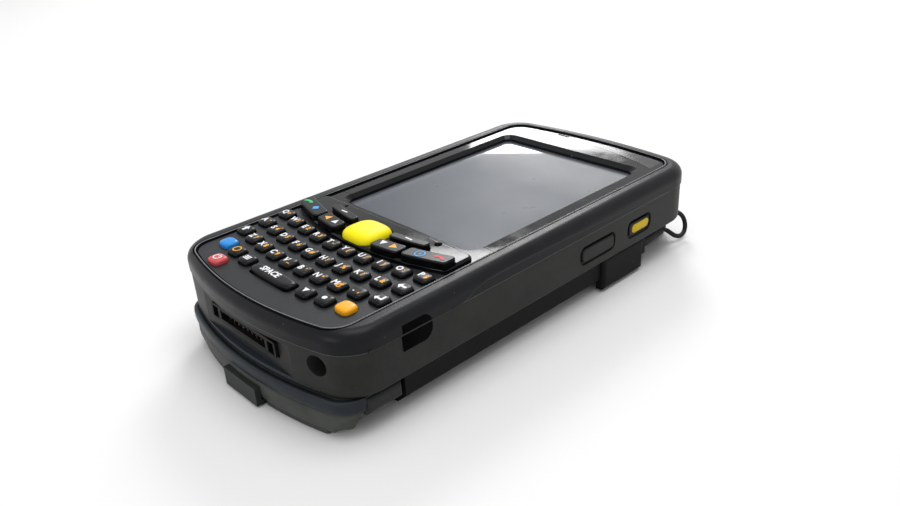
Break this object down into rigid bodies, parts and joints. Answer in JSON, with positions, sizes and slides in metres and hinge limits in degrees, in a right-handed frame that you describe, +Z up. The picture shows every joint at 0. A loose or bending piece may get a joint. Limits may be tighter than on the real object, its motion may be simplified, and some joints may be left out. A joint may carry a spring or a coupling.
{
  "type": "portable barcode data terminal",
  "caption": "Handheld data-collection terminal with a colour display, letter keypad, scan keys, rear battery, hand strap and tethered stylus, lying face up.",
  "frame": {"origin": "on the floor plane under the middle of the casing, with the terminal lying on its back", "axes": "+X to the right of the face, +Y towards the earpiece and scanner end, +Z up out of the display"},
  "size_m": [0.077, 0.152, 0.0317],
  "materials": {
    "battery": "spark textured",
    "battery_latch": "satin",
    "black_plastic": "matte",
    "board": "solder mask",
    "bumper": "fine textured rubber",
    "button_rubber": "matte",
    "button_yellow": "matte",
    "connector": "satin",
    "contact_metal": "gold plated",
    "display_glass": "clear anti-glare",
    "display_module": "dark liquid crystal",
    "frame_alloy": "cast magnesium, satin",
    "gloss_black": "gloss",
    "housing": "spark textured",
    "key_black": "matte",
    "key_blue": "matte",
    "key_orange": "matte",
    "key_red": "matte",
    "key_yellow": "satin",
    "keypad_plate": "fine spark texture",
    "light_bar": "smoked gloss",
    "scan_window": "dark red tinted",
    "screw_steel": "black zinc",
    "seal_rubber": "matte",
    "strap_clip": "satin",
    "stylus": "satin",
    "tether": "moulded elastic cord",
    "webbing": "woven nylon"
  },
  "bodies": {
    "casing": {"battery_contacts": "contact_metal", "bumper_frame": "bumper", "cover_screws": "screw_steel", "display_bezel": "gloss_black", "display_gasket": "seal_rubber", "display_module": "display_module", "exit_window": "scan_window", "headset_jack": "connector", "io_connector": "connector", "io_contacts": "contact_metal", "keypad_membrane": "seal_rubber", "keypad_plate": "keypad_plate", "light_bar": "light_bar", "main_board": "board", "mid_frame": "frame_alloy", "nav_panel": "gloss_black", "rear_cover": "housing", "rear_housing": "housing", "receiver": "black_plastic", "scan_engine": "black_plastic", "speaker": "black_plastic", "strap_bar": "screw_steel", "tether_cord": "tether", "touch_panel": "display_glass"},
    "arrow_key_left_body": {"arrow_key_left": "key_black"},
    "arrow_key_right_body": {"arrow_key_right": "key_black"},
    "blue_key_body": {"blue_key": "key_blue"},
    "call_key_left_body": {"call_key_left": "key_black"},
    "call_key_right_body": {"call_key_right": "key_black"},
    "letter_keys_1_body": {"letter_keys_1": "key_black"},
    "letter_keys_10_body": {"letter_keys_10": "key_black"},
    "letter_keys_2_body": {"letter_keys_2": "key_black"},
    "letter_keys_3_body": {"letter_keys_3": "key_black"},
    "letter_keys_4_body": {"letter_keys_4": "key_black"},
    "letter_keys_5_body": {"letter_keys_5": "key_black"},
    "letter_keys_6_body": {"letter_keys_6": "key_black"},
    "letter_keys_7_body": {"letter_keys_7": "key_black"},
    "letter_keys_8_body": {"letter_keys_8": "key_black"},
    "letter_keys_9_body": {"letter_keys_9": "key_black"},
    "menu_key_body": {"menu_key": "key_black"},
    "orange_key_body": {"orange_key": "key_orange"},
    "power_key_body": {"power_key": "key_red"},
    "record_key_body": {"record_key": "key_black"},
    "scan_key_body": {"scan_key": "key_yellow"},
    "soft_key_left_body": {"soft_key_left": "key_black"},
    "soft_key_right_body": {"soft_key_right": "key_black"},
    "space_key_body": {"space_key": "key_black"},
    "symbol_key_body": {"symbol_key": "key_black"},
    "view_key_body": {"view_key": "key_black"},
    "function_button_body": {"function_button": "button_rubber"},
    "scan_button_right_body": {"scan_button_right": "button_yellow"},
    "scan_button_left_body": {"scan_button_left": "button_yellow"},
    "volume_button_body": {"volume_button": "button_rubber"},
    "battery": {"battery_pack": "battery"},
    "battery_latch_right_body": {"battery_latch_right": "battery_latch"},
    "battery_latch_left_body": {"battery_latch_left": "battery_latch"},
    "strap": {"hand_strap": "webbing", "strap_clip": "strap_clip"},
    "stylus_body": {"stylus": "stylus", "tether_ferrule": "stylus"}
  },
  "joints": [
    {"name": "arrow_key_left_press", "type": "slide", "parent": "casing", "child": "arrow_key_left_body", "axis": [0, 0, -1], "range_m": [0, 0.0006], "stiffness_N_per_m": 400},
    {"name": "arrow_key_right_press", "type": "slide", "parent": "casing", "child": "arrow_key_right_body", "axis": [0, 0, -1], "range_m": [0, 0.0006], "stiffness_N_per_m": 400},
    {"name": "blue_key_press", "type": "slide", "parent": "casing", "child": "blue_key_body", "axis": [0, 0, -1], "range_m": [0, 0.0006], "stiffness_N_per_m": 400},
    {"name": "call_key_left_press", "type": "slide", "parent": "casing", "child": "call_key_left_body", "axis": [0, 0, -1], "range_m": [0, 0.0006], "stiffness_N_per_m": 400},
    {"name": "call_key_right_press", "type": "slide", "parent": "casing", "child": "call_key_right_body", "axis": [0, 0, -1], "range_m": [0, 0.0006], "stiffness_N_per_m": 400},
    {"name": "letter_keys_1_press", "type": "slide", "parent": "casing", "child": "letter_keys_1_body", "axis": [0, 0, -1], "range_m": [0, 0.0006], "stiffness_N_per_m": 400},
    {"name": "letter_keys_10_press", "type": "slide", "parent": "casing", "child": "letter_keys_10_body", "axis": [0, 0, -1], "range_m": [0, 0.0006], "stiffness_N_per_m": 400},
    {"name": "letter_keys_2_press", "type": "slide", "parent": "casing", "child": "letter_keys_2_body", "axis": [0, 0, -1], "range_m": [0, 0.0006], "stiffness_N_per_m": 400},
    {"name": "letter_keys_3_press", "type": "slide", "parent": "casing", "child": "letter_keys_3_body", "axis": [0, 0, -1], "range_m": [0, 0.0006], "stiffness_N_per_m": 400},
    {"name": "letter_keys_4_press", "type": "slide", "parent": "casing", "child": "letter_keys_4_body", "axis": [0, 0, -1], "range_m": [0, 0.0006], "stiffness_N_per_m": 400},
    {"name": "letter_keys_5_press", "type": "slide", "parent": "casing", "child": "letter_keys_5_body", "axis": [0, 0, -1], "range_m": [0, 0.0006], "stiffness_N_per_m": 400},
    {"name": "letter_keys_6_press", "type": "slide", "parent": "casing", "child": "letter_keys_6_body", "axis": [0, 0, -1], "range_m": [0, 0.0006], "stiffness_N_per_m": 400},
    {"name": "letter_keys_7_press", "type": "slide", "parent": "casing", "child": "letter_keys_7_body", "axis": [0, 0, -1], "range_m": [0, 0.0006], "stiffness_N_per_m": 400},
    {"name": "letter_keys_8_press", "type": "slide", "parent": "casing", "child": "letter_keys_8_body", "axis": [0, 0, -1], "range_m": [0, 0.0006], "stiffness_N_per_m": 400},
    {"name": "letter_keys_9_press", "type": "slide", "parent": "casing", "child": "letter_keys_9_body", "axis": [0, 0, -1], "range_m": [0, 0.0006], "stiffness_N_per_m": 400},
    {"name": "menu_key_press", "type": "slide", "parent": "casing", "child": "menu_key_body", "axis": [0, 0, -1], "range_m": [0, 0.0006], "stiffness_N_per_m": 400},
    {"name": "orange_key_press", "type": "slide", "parent": "casing", "child": "orange_key_body", "axis": [0, 0, -1], "range_m": [0, 0.0006], "stiffness_N_per_m": 400},
    {"name": "power_key_press", "type": "slide", "parent": "casing", "child": "power_key_body", "axis": [0, 0, -1], "range_m": [0, 0.0006], "stiffness_N_per_m": 400},
    {"name": "record_key_press", "type": "slide", "parent": "casing", "child": "record_key_body", "axis": [0, 0, -1], "range_m": [0, 0.0006], "stiffness_N_per_m": 400},
    {"name": "scan_key_press", "type": "slide", "parent": "casing", "child": "scan_key_body", "axis": [0, 0, -1], "range_m": [0, 0.0006], "stiffness_N_per_m": 400},
    {"name": "soft_key_left_press", "type": "slide", "parent": "casing", "child": "soft_key_left_body", "axis": [0, 0, -1], "range_m": [0, 0.0006], "stiffness_N_per_m": 400},
    {"name": "soft_key_right_press", "type": "slide", "parent": "casing", "child": "soft_key_right_body", "axis": [0, 0, -1], "range_m": [0, 0.0006], "stiffness_N_per_m": 400},
    {"name": "space_key_press", "type": "slide", "parent": "casing", "child": "space_key_body", "axis": [0, 0, -1], "range_m": [0, 0.0006], "stiffness_N_per_m": 400},
    {"name": "symbol_key_press", "type": "slide", "parent": "casing", "child": "symbol_key_body", "axis": [0, 0, -1], "range_m": [0, 0.0006], "stiffness_N_per_m": 400},
    {"name": "view_key_press", "type": "slide", "parent": "casing", "child": "view_key_body", "axis": [0, 0, -1], "range_m": [0, 0.0006], "stiffness_N_per_m": 400},
    {"name": "function_button_press", "type": "slide", "parent": "casing", "child": "function_button_body", "axis": [-1, 0, 0], "range_m": [0, 0.0006], "stiffness_N_per_m": 600},
    {"name": "scan_button_right_press", "type": "slide", "parent": "casing", "child": "scan_button_right_body", "axis": [-1, 0, 0], "range_m": [0, 0.0006], "stiffness_N_per_m": 600},
    {"name": "scan_button_left_press", "type": "slide", "parent": "casing", "child": "scan_button_left_body", "axis": [1, 0, 0], "range_m": [0, 0.0006], "stiffness_N_per_m": 600},
    {"name": "volume_button_press", "type": "slide", "parent": "casing", "child": "volume_button_body", "axis": [1, 0, 0], "range_m": [0, 0.0006], "stiffness_N_per_m": 600},
    {"name": "battery_latch_right_press", "type": "slide", "parent": "battery", "child": "battery_latch_right_body", "axis": [-1, 0, 0], "range_m": [0, 0.0015], "stiffness_N_per_m": 300},
    {"name": "battery_latch_left_press", "type": "slide", "parent": "battery", "child": "battery_latch_left_body", "axis": [1, 0, 0], "range_m": [0, 0.0015], "stiffness_N_per_m": 300},
    {"name": "strap_swing", "type": "hinge", "parent": "casing", "child": "strap", "pos_m": [0, 0.041, 0.003], "axis": [1, 0, 0], "range_deg": [0, 80]},
    {"name": "battery_release", "type": "slide", "parent": "casing", "child": "battery", "axis": [0, 0, -1], "range_m": [0, 0.007]},
    {"name": "stylus_pull", "type": "slide", "parent": "casing", "child": "stylus_body", "axis": [0, 1, 0], "range_m": [0, 0.025], "deforming": ["tether_cord"]}
  ],
  "couplings": [
    {"joint": "strap_swing", "follows": "battery_release", "rad_per_m": 195}
  ]
}
